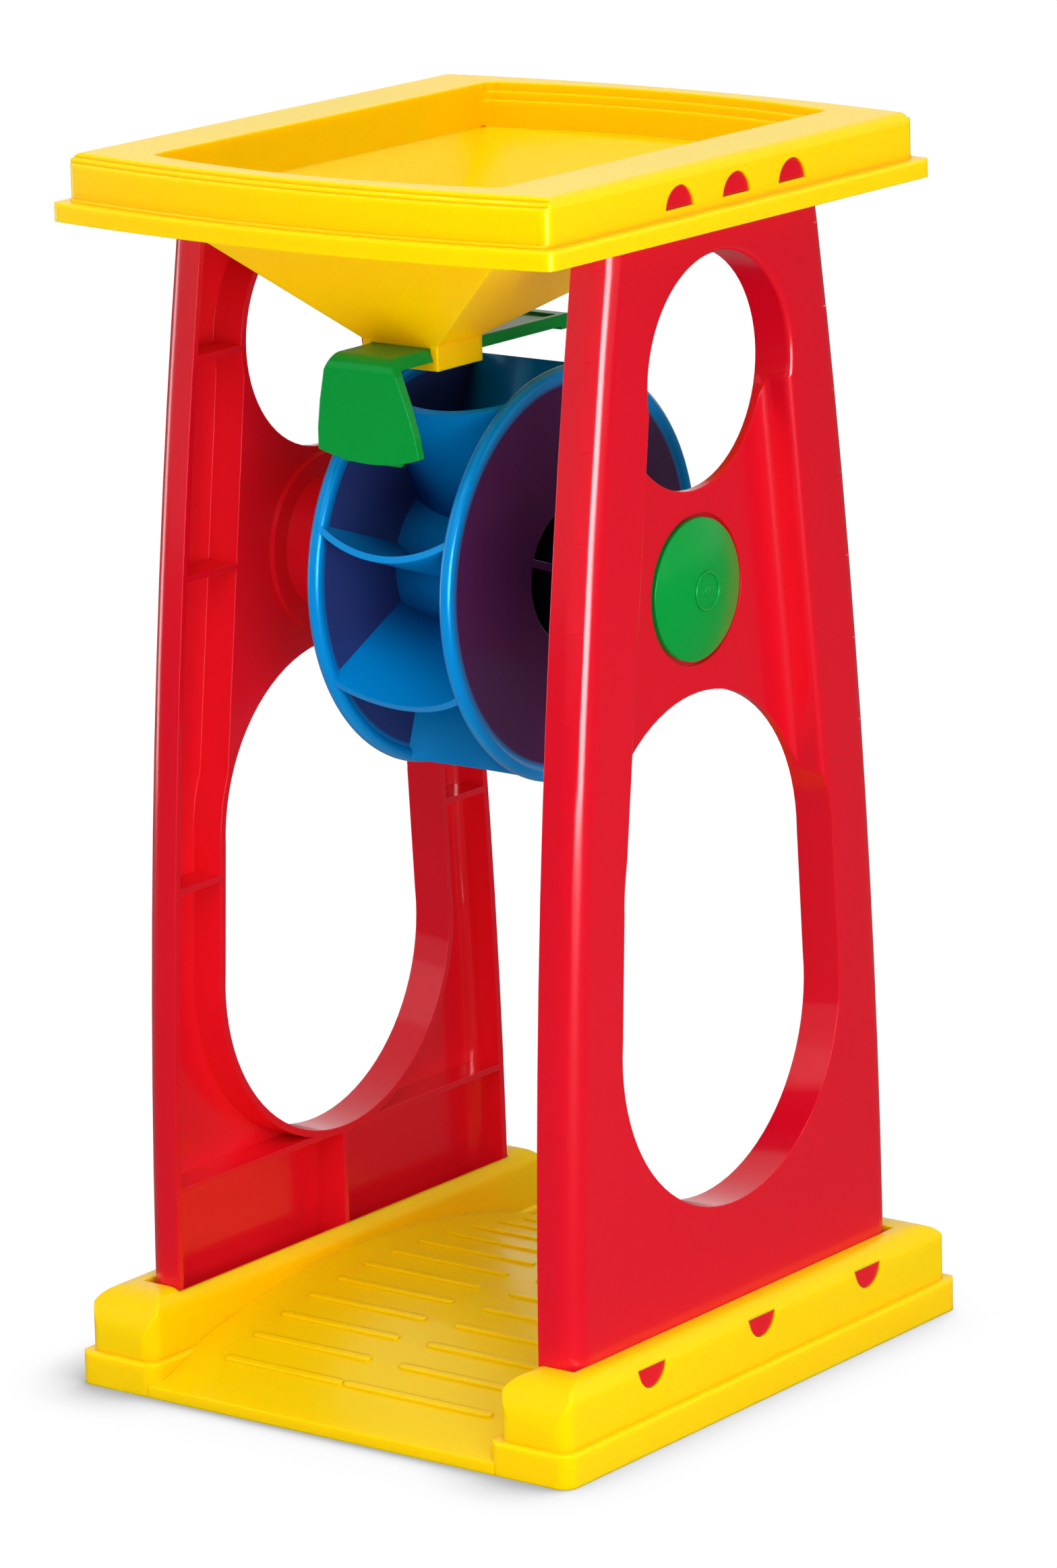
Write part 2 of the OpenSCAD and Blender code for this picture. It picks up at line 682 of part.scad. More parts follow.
module gate_slide() {
  arm = outlet_w/2 - gate_side - seat_gap;
  back = -outlet_y + outlet_d/2;
  front = -outlet_y - outlet_d/2 - arm_len;
  color(green) difference() {
    translate([0, 0, gate_z]) intersection() {
      rotate([90, 0, 90]) linear_extrude(handle_w + over, center = true) gate_profile();
      union() {
        translate([0, front + (arm_len - seat_gap - over)/2, 0]) rotate([90, 0, 0])
          linear_extrude(arm_len - seat_gap + over, center = true) handle_outline();
        translate([-arm, front + handle_bend, -handle_h])
          cube([2*arm, tail_len + outlet_d + arm_len, 2*handle_h]);
      }
    }
    // Hole that lets the sand through
    translate([-hole_w/2, -outlet_y - hole_d/2, gate_z - over]) cube([hole_w, hole_d, gate_t + 2*over]);
    // Shallow tray in the tail's top
    translate([-arm + gate_t/2, back + gate_t/2, gate_z + gate_t - rib_h])
      cube([2*arm - gate_t, tail_len - stop_len - gate_t/2, rib_h + over]);
  }
}

// Wheel: two discs with curved paddles between them on a hollow core
module wheel_disc() {
  mid = wheel_w/2 - bead_t/2;
  rotate([0, 90, 0]) rotate_extrude($fn = 144) {
    translate([core_r - disc_t, mid - disc_t/2]) square([wheel_r - core_r + disc_t - bead_t/2, disc_t]);
    translate([wheel_r - bead_t/2, mid]) circle(bead_t/2, $fn = 32);
  }
}
module paddle() {
  // Upright paddle: an arc seen from above, its belly to the front
  reach = wheel_w/2 - bead_t/2;
  arc_r = (reach*reach + paddle_sag*paddle_sag)/(2*paddle_sag);
  intersection() {
    translate([0, arc_r - paddle_sag, core_r - disc_t]) linear_extrude(wheel_r)
      intersection() {
        difference() {
          circle(arc_r + paddle_t/2, $fn = 144);
          circle(arc_r - paddle_t/2, $fn = 144);
        }
        translate([-reach, -arc_r - paddle_t]) square([2*reach, arc_r]);
      }
    rotate([0, 90, 0]) cylinder(r = wheel_r - tip_in, h = wheel_w, center = true, $fn = 144);
  }
}
module tube(r_out, r_in, len) {
  rotate([0, 90, 0]) difference() {
    cylinder(r = r_out, h = len, center = true);
    cylinder(r = r_in, h = len + 2*over, center = true);
  }
}
module wheel() {
  core_len = wheel_w - bead_t + disc_t;
  hub_len = 2*(panel_in - boss_len - end_play);
  color(blue) translate([0, 0, axle_z]) {
    for (side = [0, 1]) mirror([side, 0, 0]) wheel_disc();
    difference() {
      union() {
        tube(core_r, core_r - disc_t, core_len);
        for (i = [0:paddles - 1]) rotate([paddle_turn + i*360/paddles - 90, 0, 0]) paddle();
      }
      rotate([0, 90, 0]) cylinder(r = core_r - disc_t, h = wheel_w, center = true);
    }
    difference() {
      union() {
        rotate([0, 90, 0]) cylinder(r = hub_r, h = hub_len, center = true);
        for (i = [0:3]) rotate([paddle_turn + 45 + i*90 - 90, 0, 0])
          translate([-core_len/2, -spoke_t/2, 0]) cube([core_len, spoke_t, core_r - disc_t/2]);
      }
      rotate([0, 90, 0]) cylinder(r = axle_r + run_play, h = hub_len + 2*over, center = true);
    }
  }
}

// Axle and its two caps
module axle() {
  color(green) translate([0, 0, axle_z]) rotate([0, 90, 0])
    cylinder(r = axle_r, h = 2*(panel_in - boss_len + panel_wall + end_play + socket_grip),
             center = true);
}
module cap() {
  seat_x = panel_out - web_sink - cap_seat;
  socket_x = panel_in - boss_len + panel_wall + end_play;
  dome_r = (cap_r*cap_r + cap_dome*cap_dome)/(2*cap_dome);
  color(green) translate([0, 0, axle_z]) rotate([0, 90, 0]) difference() {
    union() {
      // Domed head
      intersection() {
        translate([0, 0, seat_x + cap_edge + cap_dome - dome_r]) sphere(dome_r, $fn = 180);
        translate([0, 0, seat_x]) cylinder(r = cap_r, h = cap_edge + cap_dome, $fn = 144);
      }
      // Plug that fills the boss, and the socket for the axle's end
      difference() {
        translate([0, 0, seat_x - plug_len])
          cylinder(r = boss_r - panel_wall - press_play, h = plug_len + root);
        translate([0, 0, seat_x - plug_len - over])
          cylinder(r = boss_r - 2*panel_wall, h = plug_len + over);
      }
      translate([0, 0, socket_x]) cylinder(r = socket_r, h = seat_x - socket_x + root);
    }
    translate([0, 0, socket_x - over])
      cylinder(r = axle_r + press_play, h = socket_grip + 2*over);
  }
}
module right_cap() cap();
module left_cap() mirror([1, 0, 0]) cap();

base();
left_panel();
right_panel();
hopper();
gate_slide();
wheel();
axle();
left_cap();
right_cap();
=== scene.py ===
import math

import bpy
from mathutils import Matrix, Vector


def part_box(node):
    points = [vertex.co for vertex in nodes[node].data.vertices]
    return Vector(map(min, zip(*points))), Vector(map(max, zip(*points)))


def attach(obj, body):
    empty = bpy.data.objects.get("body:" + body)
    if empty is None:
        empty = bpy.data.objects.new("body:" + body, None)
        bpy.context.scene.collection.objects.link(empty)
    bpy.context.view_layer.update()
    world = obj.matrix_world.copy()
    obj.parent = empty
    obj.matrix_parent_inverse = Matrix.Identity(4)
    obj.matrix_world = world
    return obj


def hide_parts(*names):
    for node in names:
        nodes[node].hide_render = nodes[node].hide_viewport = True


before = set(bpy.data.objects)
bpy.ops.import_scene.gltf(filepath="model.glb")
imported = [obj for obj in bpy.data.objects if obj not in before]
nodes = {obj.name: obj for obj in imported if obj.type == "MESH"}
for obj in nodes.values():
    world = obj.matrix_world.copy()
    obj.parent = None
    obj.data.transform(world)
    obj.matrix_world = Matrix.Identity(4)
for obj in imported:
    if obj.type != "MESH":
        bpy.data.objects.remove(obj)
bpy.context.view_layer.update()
mm = 0.001


# Camera
# The photograph was taken from the front right, a little above the toy, with a long lens.
# Azimuth, elevation, roll and distance come from a camera fitted to the toy's straight edges.
photo_azimuth = math.radians(37.0)
photo_elevation = math.radians(13.86)
photo_roll = math.radians(-1.4)
photo_distance = 2314.6 * mm
photo_target = Vector((7.36 * mm, 0.0, 189.92 * mm))
photo_focal_pixels = 10714.23
photo_height_pixels = 2327
sensor_height = 36.0
nearest_seen = 0.05
farthest_seen = 50.0


def towards(azimuth, elevation):
    """Unit vector from the toy to a place at an azimuth from the front and an elevation."""
    return Vector((
        math.sin(azimuth) * math.cos(elevation),
        -math.cos(azimuth) * math.cos(elevation),
        math.sin(elevation),
    ))


towards_camera = towards(photo_azimuth, photo_elevation)
camera_data = bpy.data.cameras.new("photo_camera")
camera = bpy.data.objects.new("photo_camera", camera_data)
bpy.context.scene.collection.objects.link(camera)
camera.location = photo_target + towards_camera * photo_distance
level = towards_camera.to_track_quat("Z", "Y").to_matrix()
camera.rotation_euler = (level @ Matrix.Rotation(photo_roll, 3, "Z")).to_euler()
camera_data.sensor_fit = "VERTICAL"
camera_data.sensor_height = sensor_height
camera_data.lens = photo_focal_pixels / photo_height_pixels * sensor_height
camera_data.clip_start = nearest_seen
camera_data.clip_end = farthest_seen
bpy.context.scene.camera = camera
bpy.context.scene.view_settings.view_transform = "Standard"


# Base and hopper
# Both are yellow polypropylene, injection moulded with a gloss finish. The base is a tray with an
# arched, ribbed floor between two hollow ridges. The hopper is a hollow stepped rim round a
# four-sided funnel. Both have windows that the panels' snap tabs click into.
hollow_samples = 8
closed_share = 0.3
flow_stretch = (1.0, 1.0, 0.35)
cloud_scale = 38.0
cloud_detail = 4.0
cloud_range = (0.3, 0.7)
scuff_scale = 420.0
scuff_detail = 3.0
scuff_range = (0.4, 0.75)
grain_scale = 1400.0
grain_detail = 2.0
wave_scale = 45.0
wave_detail = 1.0
wave_share = 0.5
edge_samples = 6
relief_strength = 0.015
relief_depth = 0.1 * mm
plastic_ior = 1.49
skin_roughness = 0.1
least_glow_radius = 0.05
glow_reach = 6 * mm


def moulded_surface_group():
    """Node group: a moulded colour with painted shade mixed into its hollows, with its roughness
    and relief.
    """
    group = bpy.data.node_groups.new("moulded surface", "ShaderNodeTree")
    face = group.interface
    for name in ("Color", "Painted Hollow Color"):
        face.new_socket(name, in_out="INPUT", socket_type="NodeSocketColor")
    for name in ("Hollow Depth", "Open Share", "Cloudiness", "Roughness", "Scuffs"):
        face.new_socket(name, in_out="INPUT", socket_type="NodeSocketFloat")
    face.new_socket("Color", in_out="OUTPUT", socket_type="NodeSocketColor")
    face.new_socket("Roughness", in_out="OUTPUT", socket_type="NodeSocketFloat")
    face.new_socket("Height", in_out="OUTPUT", socket_type="NodeSocketFloat")
    tree = group.nodes
    link = group.links.new
    given = tree.new("NodeGroupInput")
    out = tree.new("NodeGroupOutput")
    place = tree.new("ShaderNodeTexCoord")

    # Painted shade in hollows: ambient occlusion mixes the hollow colour into recesses, darkening
    # them where it is darker and painting light where it is lighter
    hollow = tree.new("ShaderNodeAmbientOcclusion")
    hollow.samples = hollow_samples
    link(given.outputs["Hollow Depth"], hollow.inputs["Distance"])
    open_share = tree.new("ShaderNodeMapRange")
    open_share.inputs["From Min"].default_value = closed_share
    link(given.outputs["Open Share"], open_share.inputs["From Max"])
    link(hollow.outputs["AO"], open_share.inputs["Value"])
    painted_hollow_mix = tree.new("ShaderNodeMix")
    painted_hollow_mix.data_type = "RGBA"
    link(open_share.outputs[0], painted_hollow_mix.inputs["Factor"])
    link(given.outputs["Painted Hollow Color"], painted_hollow_mix.inputs["A"])
    link(given.outputs["Color"], painted_hollow_mix.inputs["B"])

    # Faint clouds of pigment, drawn out along the flow
    flow = tree.new("ShaderNodeMapping")
    flow.inputs["Scale"].default_value = flow_stretch
    link(place.outputs["Object"], flow.inputs["Vector"])
    clouds = tree.new("ShaderNodeTexNoise")
    clouds.inputs["Scale"].default_value = cloud_scale
    clouds.inputs["Detail"].default_value = cloud_detail
    link(flow.outputs[0], clouds.inputs["Vector"])
    shade = tree.new("ShaderNodeMapRange")
    shade.inputs["From Min"].default_value = cloud_range[0]
    shade.inputs["From Max"].default_value = cloud_range[1]
    shade.inputs["To Min"].default_value = 1.0
    link(clouds.outputs["Fac"], shade.inputs["Value"])
    darkest = tree.new("ShaderNodeMath")
    darkest.operation = "SUBTRACT"
    darkest.inputs[0].default_value = 1.0
    link(given.outputs["Cloudiness"], darkest.inputs[1])
    link(darkest.outputs[0], shade.inputs["To Max"])
    tone = tree.new("ShaderNodeVectorMath")
    tone.operation = "SCALE"
    link(painted_hollow_mix.outputs["Result"], tone.inputs[0])
    link(shade.outputs[0], tone.inputs["Scale"])
    link(tone.outputs[0], out.inputs["Color"])

    # Handling leaves fine dull patches
    scuffs = tree.new("ShaderNodeTexNoise")
    scuffs.inputs["Scale"].default_value = scuff_scale
    scuffs.inputs["Detail"].default_value = scuff_detail
    link(place.outputs["Object"], scuffs.inputs["Vector"])
    rough = tree.new("ShaderNodeMapRange")
    rough.inputs["From Min"].default_value = scuff_range[0]
    rough.inputs["From Max"].default_value = scuff_range[1]
    link(scuffs.outputs["Fac"], rough.inputs["Value"])
    link(given.outputs["Roughness"], rough.inputs["To Min"])
    most = tree.new("ShaderNodeMath")
    most.operation = "ADD"
    link(given.outputs["Roughness"], most.inputs[0])
    link(given.outputs["Scuffs"], most.inputs[1])
    link(most.outputs[0], rough.inputs["To Max"])
    link(rough.outputs[0], out.inputs["Roughness"])

    # The mould's fine grain over a slight waviness from shrinkage
    grain = tree.new("ShaderNodeTexNoise")
    grain.inputs["Scale"].default_value = grain_scale
    grain.inputs["Detail"].default_value = grain_detail
    link(place.outputs["Object"], grain.inputs["Vector"])
    waves = tree.new("ShaderNodeTexNoise")
    waves.inputs["Scale"].default_value = wave_scale
    waves.inputs["Detail"].default_value = wave_detail
    link(place.outputs["Object"], waves.inputs["Vector"])
    relief = tree.new("ShaderNodeMath")
    relief.operation = "MULTIPLY_ADD"
    relief.inputs[1].default_value = wave_share
    link(waves.outputs["Fac"], relief.inputs[0])
    link(grain.outputs["Fac"], relief.inputs[2])
    link(relief.outputs[0], out.inputs["Height"])
    return group


moulded_surface = moulded_surface_group()


def moulded_plastic(name, colour, painted_hollow_colour, tint, glow, roughness=0.26, cloudiness=0.005,
                    scuffs=0.01, gloss=0.5, skin=0.0, hollow_depth=20 * mm, open_share=0.85,
                    edge=0.6 * mm):
    """A moulded plastic with softened edges, a thin gloss, light carried inside its wall and
    painted shade in its hollows.
    """
    material = bpy.data.materials.new(name)
    material.use_nodes = True
    tree = material.node_tree.nodes
    link = material.node_tree.links.new
    shader = tree["Principled BSDF"]
    surface = tree.new("ShaderNodeGroup")
    surface.name = "surface"
    surface.node_tree = moulded_surface
    surface.inputs["Color"].default_value = (*colour, 1.0)
    surface.inputs["Painted Hollow Color"].default_value = (*painted_hollow_colour, 1.0)
    surface.inputs["Hollow Depth"].default_value = hollow_depth
    surface.inputs["Open Share"].default_value = open_share
    surface.inputs["Cloudiness"].default_value = cloudiness
    surface.inputs["Roughness"].default_value = roughness
    surface.inputs["Scuffs"].default_value = scuffs
    link(surface.outputs["Color"], shader.inputs["Base Color"])
    link(surface.outputs["Roughness"], shader.inputs["Roughness"])
    edges = tree.new("ShaderNodeBevel")
    edges.samples = edge_samples
    edges.inputs["Radius"].default_value = edge
    relief = tree.new("ShaderNodeBump")
    relief.inputs["Strength"].default_value = relief_strength
    relief.inputs["Distance"].default_value = relief_depth
    link(surface.outputs["Height"], relief.inputs["Height"])
    link(edges.outputs["Normal"], relief.inputs["Normal"])
    link(relief.outputs["Normal"], shader.inputs["Normal"])
    shader.inputs["IOR"].default_value = plastic_ior
    shader.inputs["Specular IOR Level"].default_value = gloss
    shader.inputs["Specular Tint"].default_value = (*tint, 1.0)
    shader.inputs["Coat Weight"].default_value = skin
    shader.inputs["Coat Roughness"].default_value = skin_roughness
    shader.inputs["Subsurface Weight"].default_value = glow
    glow_radius = tuple(max(least_glow_radius, part) for part in colour)
    shader.inputs["Subsurface Radius"].default_value = glow_radius
    shader.inputs["Subsurface Scale"].default_value = glow_reach
    return material


# The yellow's hollow colour is a deeper orange: painted shade in its recesses.
yellow = moulded_plastic(
    "yellow_plastic", colour=(1.0, 0.585, 0.0), painted_hollow_colour=(1.0, 0.52, 0.0),
    tint=(1.0, 0.8, 0.05), glow=0.8, roughness=0.32, gloss=0.2, skin=0.06, edge=1.1 * mm,
)
nodes["base"].material_slots[0].material = yellow
nodes["hopper"].material_slots[0].material = yellow


# Side panels
# Two red polypropylene mouldings, mirror images, with a wall of 2.4 mm and open on the inner
# side. Each has two windows, a sunk web with the axle's boss between them, and snap tabs. Their
# long rounded edges carry the brightest highlights, so they are shaded in one smooth sweep.
# The red's hollow colour is a lighter red: painted light in its recesses, for light that comes
# through the thin wall.
red = moulded_plastic(
    "red_plastic", colour=(0.57, 0.001, 0.012), painted_hollow_colour=(0.8, 0.008, 0.018),
    tint=(1.0, 0.3, 0.35), glow=0.4, roughness=0.24, gloss=0.25, skin=0.3,
    hollow_depth=60 * mm, open_share=0.95,
)
panel_foot = 88.5 * mm
panel_taper = 31.2 * mm
hopper_height = 379.0 * mm
panel_edge_radius = (hopper_height ** 2 + panel_taper ** 2) / (2 * panel_taper)
panel_rounding = 8 * mm
edge_tolerance = 0.05 * mm
rounding_tolerance = 0.12 * mm
weld_distance = 0.005 * mm
smooth_angle = math.radians(32)
sliver_area = 2 * mm * mm
same_way = 0.9


def edge_normal(point, outer_x):
    """The true normal at a point on a panel's long curved edge, or None away from it."""
    across = math.copysign(1.0, outer_x)
    forward = math.copysign(1.0, point.y)
    centre = Vector((0.0, forward * (panel_foot - panel_edge_radius), 0.0))
    outward = Vector((0.0, point.y, point.z)) - centre
    from_axis = outward.length
    outward.normalize()
    past = across * (point.x - outer_x) + panel_rounding
    if past <= 0.0:
        return outward if abs(from_axis - panel_edge_radius) < edge_tolerance else None
    over = from_axis - panel_edge_radius + panel_rounding
    off_rounding = abs(math.hypot(past, over) - panel_rounding)
    if over < -edge_tolerance or off_rounding > rounding_tolerance:
        return None
    return (outward * max(over, 0.0) + Vector((across * past, 0.0, 0.0))).normalized()


for side in ("left", "right"):
    node_name = side + "_panel"
    panel = bpy.data.objects.new(side + "_side_panel", nodes[node_name].data.copy())
    bpy.context.scene.collection.objects.link(panel)
    bpy.ops.object.select_all(action="DESELECT")
    panel.select_set(True)
    bpy.context.view_layer.objects.active = panel
    bpy.ops.mesh.customdata_custom_splitnormals_clear()
    bpy.ops.object.mode_set(mode="EDIT")
    bpy.ops.mesh.select_all(action="SELECT")
    bpy.ops.mesh.remove_doubles(threshold=weld_distance)
    bpy.ops.object.mode_set(mode="OBJECT")
    bpy.ops.object.shade_smooth_by_angle(angle=smooth_angle)
    even = panel.modifiers.new("even shading", "WEIGHTED_NORMAL")
    even.keep_sharp = True
    bpy.ops.object.modifier_apply(modifier=even.name)
    panel_low, panel_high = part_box(node_name)
    outer_x = panel_low[0] if side == "left" else panel_high[0]
    shell = panel.data
    normals = [Vector(corner.vector) for corner in shell.corner_normals]
    for face in shell.polygons:
        for corner in face.loop_indices:
            true = edge_normal(shell.vertices[shell.loops[corner].vertex_index].co, outer_x)
            if true and (face.area < sliver_area or true.dot(face.normal) > same_way):
                normals[corner] = true
    shell.normals_split_custom_set(normals)
    panel.material_slots[0].material = red
    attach(panel, "frame")
    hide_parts(node_name)


# Gate slide
# A green polypropylene strip, moulded with a turned-down handle. It slides in the hopper's
# outlet, and closes it when it is pulled out.
# The green's hollow colour is a little darker: painted shade in its recesses.
green = moulded_plastic(
    "green_plastic", colour=(0.0, 0.265, 0.032), painted_hollow_colour=(0.0, 0.24, 0.03),
    tint=(0.1, 1.0, 0.4), glow=0.2, roughness=0.3, gloss=0.3, skin=0.06,
)
nodes["gate_slide"].material_slots[0].material = green


# Wheel
# A blue moulding that turns on the axle: two discs with thick rims and eight curved paddles on a
# hollow core. Rims and paddles are azure. The rest has painted shade: the discs' inner sides
# navy, their outer sides plum with a painted reflection of the red panels, the pockets darker in
# their hollows, and the space in the core nearly black.
azure = (0.0, 0.21, 0.56)
# The navy, plum, shade and bore_shade colours below are painted shade; the plum also paints the
# red panels' reflection.
painted_disc_shade = (0.022, 0.035, 0.15)
plum_shade_and_red_reflection = (0.055, 0.012, 0.07)
shade = (0.003, 0.045, 0.2)
bore_shade = (0.006, 0.004, 0.014)
disc_side = 26 * mm
bore_radius = 23.4 * mm
wheel_low, wheel_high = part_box("wheel")
wheel_radius = (wheel_high[2] - wheel_low[2]) / 2
wheel_height = (wheel_high[2] + wheel_low[2]) / 2
full_tone_depth = 6.24 * mm
rim_tone_depth = 4.32 * mm
flat_facing = (0.75, 0.97)


def disc_mask_group():
    """Node group: masks of the discs' flat faces inside their rims, and of the hollow core, where
    the shade is painted.
    """
    group = bpy.data.node_groups.new("disc masks", "ShaderNodeTree")
    face = group.interface
    for name in ("Axle Height", "Inner Radius", "Outer Radius", "Side", "Bore Radius"):
        face.new_socket(name, in_out="INPUT", socket_type="NodeSocketFloat")
    for name in ("Flat", "Outside", "Bore"):
        face.new_socket(name, in_out="OUTPUT", socket_type="NodeSocketFloat")
    tree = group.nodes
    link = group.links.new
    given = tree.new("NodeGroupInput")
    out = tree.new("NodeGroupOutput")
    place = tree.new("ShaderNodeTexCoord")
    parts = tree.new("ShaderNodeSeparateXYZ")
    link(place.outputs["Object"], parts.inputs[0])
    above = tree.new("ShaderNodeMath")
    above.operation = "SUBTRACT"
    link(parts.outputs["Z"], above.inputs[0])
    link(given.outputs["Axle Height"], above.inputs[1])
    flat = tree.new("ShaderNodeCombineXYZ")
    link(parts.outputs["Y"], flat.inputs["Y"])
    link(above.outputs[0], flat.inputs["Z"])
    radius = tree.new("ShaderNodeVectorMath")
    radius.operation = "LENGTH"
    link(flat.outputs[0], radius.inputs[0])
    inside = tree.new("ShaderNodeMapRange")
    inside.interpolation_type = "SMOOTHSTEP"
    inside.inputs["To Min"].default_value = 1.0
    inside.inputs["To Max"].default_value = 0.0
    link(radius.outputs["Value"], inside.inputs["Value"])
    link(given.outputs["Inner Radius"], inside.inputs["From Min"])
    link(given.outputs["Outer Radius"], inside.inputs["From Max"])
    facing = tree.new("ShaderNodeSeparateXYZ")
    link(place.outputs["Normal"], facing.inputs[0])
    across = tree.new("ShaderNodeMath")
    across.operation = "ABSOLUTE"
    link(facing.outputs["X"], across.inputs[0])
    level = tree.new("ShaderNodeMapRange")
    level.interpolation_type = "SMOOTHSTEP"
    level.inputs["From Min"].default_value = flat_facing[0]
    level.inputs["From Max"].default_value = flat_facing[1]
    link(across.outputs[0], level.inputs["Value"])
    flat_share = tree.new("ShaderNodeMath")
    flat_share.operation = "MULTIPLY"
    link(inside.outputs[0], flat_share.inputs[0])
    link(level.outputs[0], flat_share.inputs[1])
    link(flat_share.outputs[0], out.inputs["Flat"])
    away = tree.new("ShaderNodeMath")
    away.operation = "ABSOLUTE"
    link(parts.outputs["X"], away.inputs[0])
    beyond = tree.new("ShaderNodeMath")
    beyond.operation = "GREATER_THAN"
    link(away.outputs[0], beyond.inputs[0])
    link(given.outputs["Side"], beyond.inputs[1])
    link(beyond.outputs[0], out.inputs["Outside"])
    within = tree.new("ShaderNodeMath")
    within.operation = "LESS_THAN"
    link(radius.outputs["Value"], within.inputs[0])
    link(given.outputs["Bore Radius"], within.inputs[1])
    link(within.outputs[0], out.inputs["Bore"])
    return group


blue = moulded_plastic(
    "blue_plastic", colour=azure, painted_hollow_colour=shade, tint=(0.1, 0.6, 1.0), glow=0.0,
    roughness=0.24, gloss=0.4, skin=0.04, hollow_depth=32 * mm, open_share=0.45,
)
wheel_nodes = blue.node_tree.nodes
wheel_link = blue.node_tree.links.new
masks = wheel_nodes.new("ShaderNodeGroup")
masks.node_tree = disc_mask_group()
masks.inputs["Axle Height"].default_value = wheel_height
masks.inputs["Inner Radius"].default_value = wheel_radius - full_tone_depth
masks.inputs["Outer Radius"].default_value = wheel_radius - rim_tone_depth
masks.inputs["Side"].default_value = disc_side
masks.inputs["Bore Radius"].default_value = bore_radius
# Painted shade: the flat disc faces take navy inside and plum outside, and the core a near-black,
# over the azure.
painted_side_shade = wheel_nodes.new("ShaderNodeMix")
painted_side_shade.data_type = "RGBA"
painted_side_shade.inputs["A"].default_value = (*painted_disc_shade, 1.0)
painted_side_shade.inputs["B"].default_value = (*plum_shade_and_red_reflection, 1.0)
wheel_link(masks.outputs["Outside"], painted_side_shade.inputs["Factor"])
for start, socket in ((azure, "Color"), (shade, "Painted Hollow Color")):
    painted_core_shade = wheel_nodes.new("ShaderNodeMix")
    painted_core_shade.data_type = "RGBA"
    painted_core_shade.inputs["A"].default_value = (*start, 1.0)
    painted_core_shade.inputs["B"].default_value = (*bore_shade, 1.0)
    wheel_link(masks.outputs["Bore"], painted_core_shade.inputs["Factor"])
    tone = wheel_nodes.new("ShaderNodeMix")
    tone.data_type = "RGBA"
    wheel_link(painted_core_shade.outputs["Result"], tone.inputs["A"])
    wheel_link(painted_side_shade.outputs["Result"], tone.inputs["B"])
    wheel_link(masks.outputs["Flat"], tone.inputs["Factor"])
    wheel_link(tone.outputs["Result"], wheel_nodes["surface"].inputs[socket])
nodes["wheel"].material_slots[0].material = blue


# Axle and caps
# A plain green rod, and two domed green caps that plug into the panels' bosses. Each cap has a
# low ring on its middle, with the small stud that the moulding gate leaves inside it.
nodes["axle"].material_slots[0].material = green
nodes["left_cap"].material_slots[0].material = green
nodes["right_cap"].material_slots[0].material = green
ring_radius = 6 * mm
ring_half_thickness = 0.5 * mm
ring_drop = 0.2 * mm
stud_radius = 1.8 * mm
stud_rise = 0.35 * mm
quarter_turn = math.radians(90)
for side, name in ((-1, "left"), (1, "right")):
    cap_low, cap_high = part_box(name + "_cap")
    crown = cap_high[0] if side > 0 else cap_low[0]
    bpy.ops.object.select_all(action="DESELECT")
    bpy.ops.mesh.primitive_torus_add(
        major_segments=64, minor_segments=12, major_radius=ring_radius,
        minor_radius=ring_half_thickness, rotation=(0.0, quarter_turn, 0.0),
        location=(crown - side * ring_drop, 0.0, wheel_height),
    )
    ring = bpy.context.active_object
    bpy.ops.mesh.primitive_uv_sphere_add(
        segments=48, ring_count=24, radius=stud_radius, location=(crown, 0.0, wheel_height),
    )
    stud = bpy.context.active_object
    stud.scale = (stud_rise / stud_radius, 1.0, 1.0)
    ring.select_set(True)
    bpy.context.view_layer.objects.active = ring
    bpy.ops.object.transform_apply(location=True, rotation=True, scale=True)
    bpy.ops.object.join()
    ring.name = name + "_gate_ring"
    for face in ring.data.polygons:
        face.use_smooth = True
    ring.data.materials.append(green)
    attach(ring, "frame")


# Floor
# White studio paper. The camera sees it plain white, with a painted shadow round the toy's foot
# that ambient occlusion draws. From below it is clear, so that the toy's underside can be seen.
floor_size = 16.0
floor_gap = 0.1 * mm
bpy.ops.object.select_all(action="DESELECT")
bpy.ops.mesh.primitive_plane_add(size=floor_size, location=(0.0, 0.0, -floor_gap))
floor = bpy.context.active_object
floor.name = "floor"
shadow_reach = 32 * mm
shadow_level = 0.45
shadow_range = (0.4, 0.99)
shadow_samples = 24
lean = (0.35, 0.35, 1.0)
paper_white = 0.88
paper_reflection_grey = 0.2
paper = bpy.data.materials.new("paper")
paper.use_nodes = True
paper_nodes = paper.node_tree.nodes
paper_link = paper.node_tree.links.new
paper_shader = paper_nodes["Principled BSDF"]
paper_shader.inputs["Roughness"].default_value = 1.0
paper_shader.inputs["Specular IOR Level"].default_value = 0.0
# Painted shadow: the paper's emission for camera rays is dimmed by ambient occlusion next to the
# toy, leaned so it is stronger at the front and left than at the back and right.
rays = paper_nodes.new("ShaderNodeLightPath")
shelter = paper_nodes.new("ShaderNodeAmbientOcclusion")
shelter.samples = shadow_samples
slant = paper_nodes.new("ShaderNodeCombineXYZ")
for axis, share in zip("XYZ", Vector(lean).normalized()):
    slant.inputs[axis].default_value = share
paper_link(slant.outputs[0], shelter.inputs["Normal"])
shelter.inputs["Distance"].default_value = shadow_reach
shadow = paper_nodes.new("ShaderNodeMapRange")
shadow.interpolation_type = "SMOOTHSTEP"
shadow.inputs["From Min"].default_value = shadow_range[0]
shadow.inputs["From Max"].default_value = shadow_range[1]
shadow.inputs["To Min"].default_value = shadow_level
shadow.inputs["To Max"].default_value = 1.0
paper_link(shelter.outputs["AO"], shadow.inputs["Value"])
seen = paper_nodes.new("ShaderNodeMath")
seen.operation = "MULTIPLY"
paper_link(rays.outputs["Is Camera Ray"], seen.inputs[0])
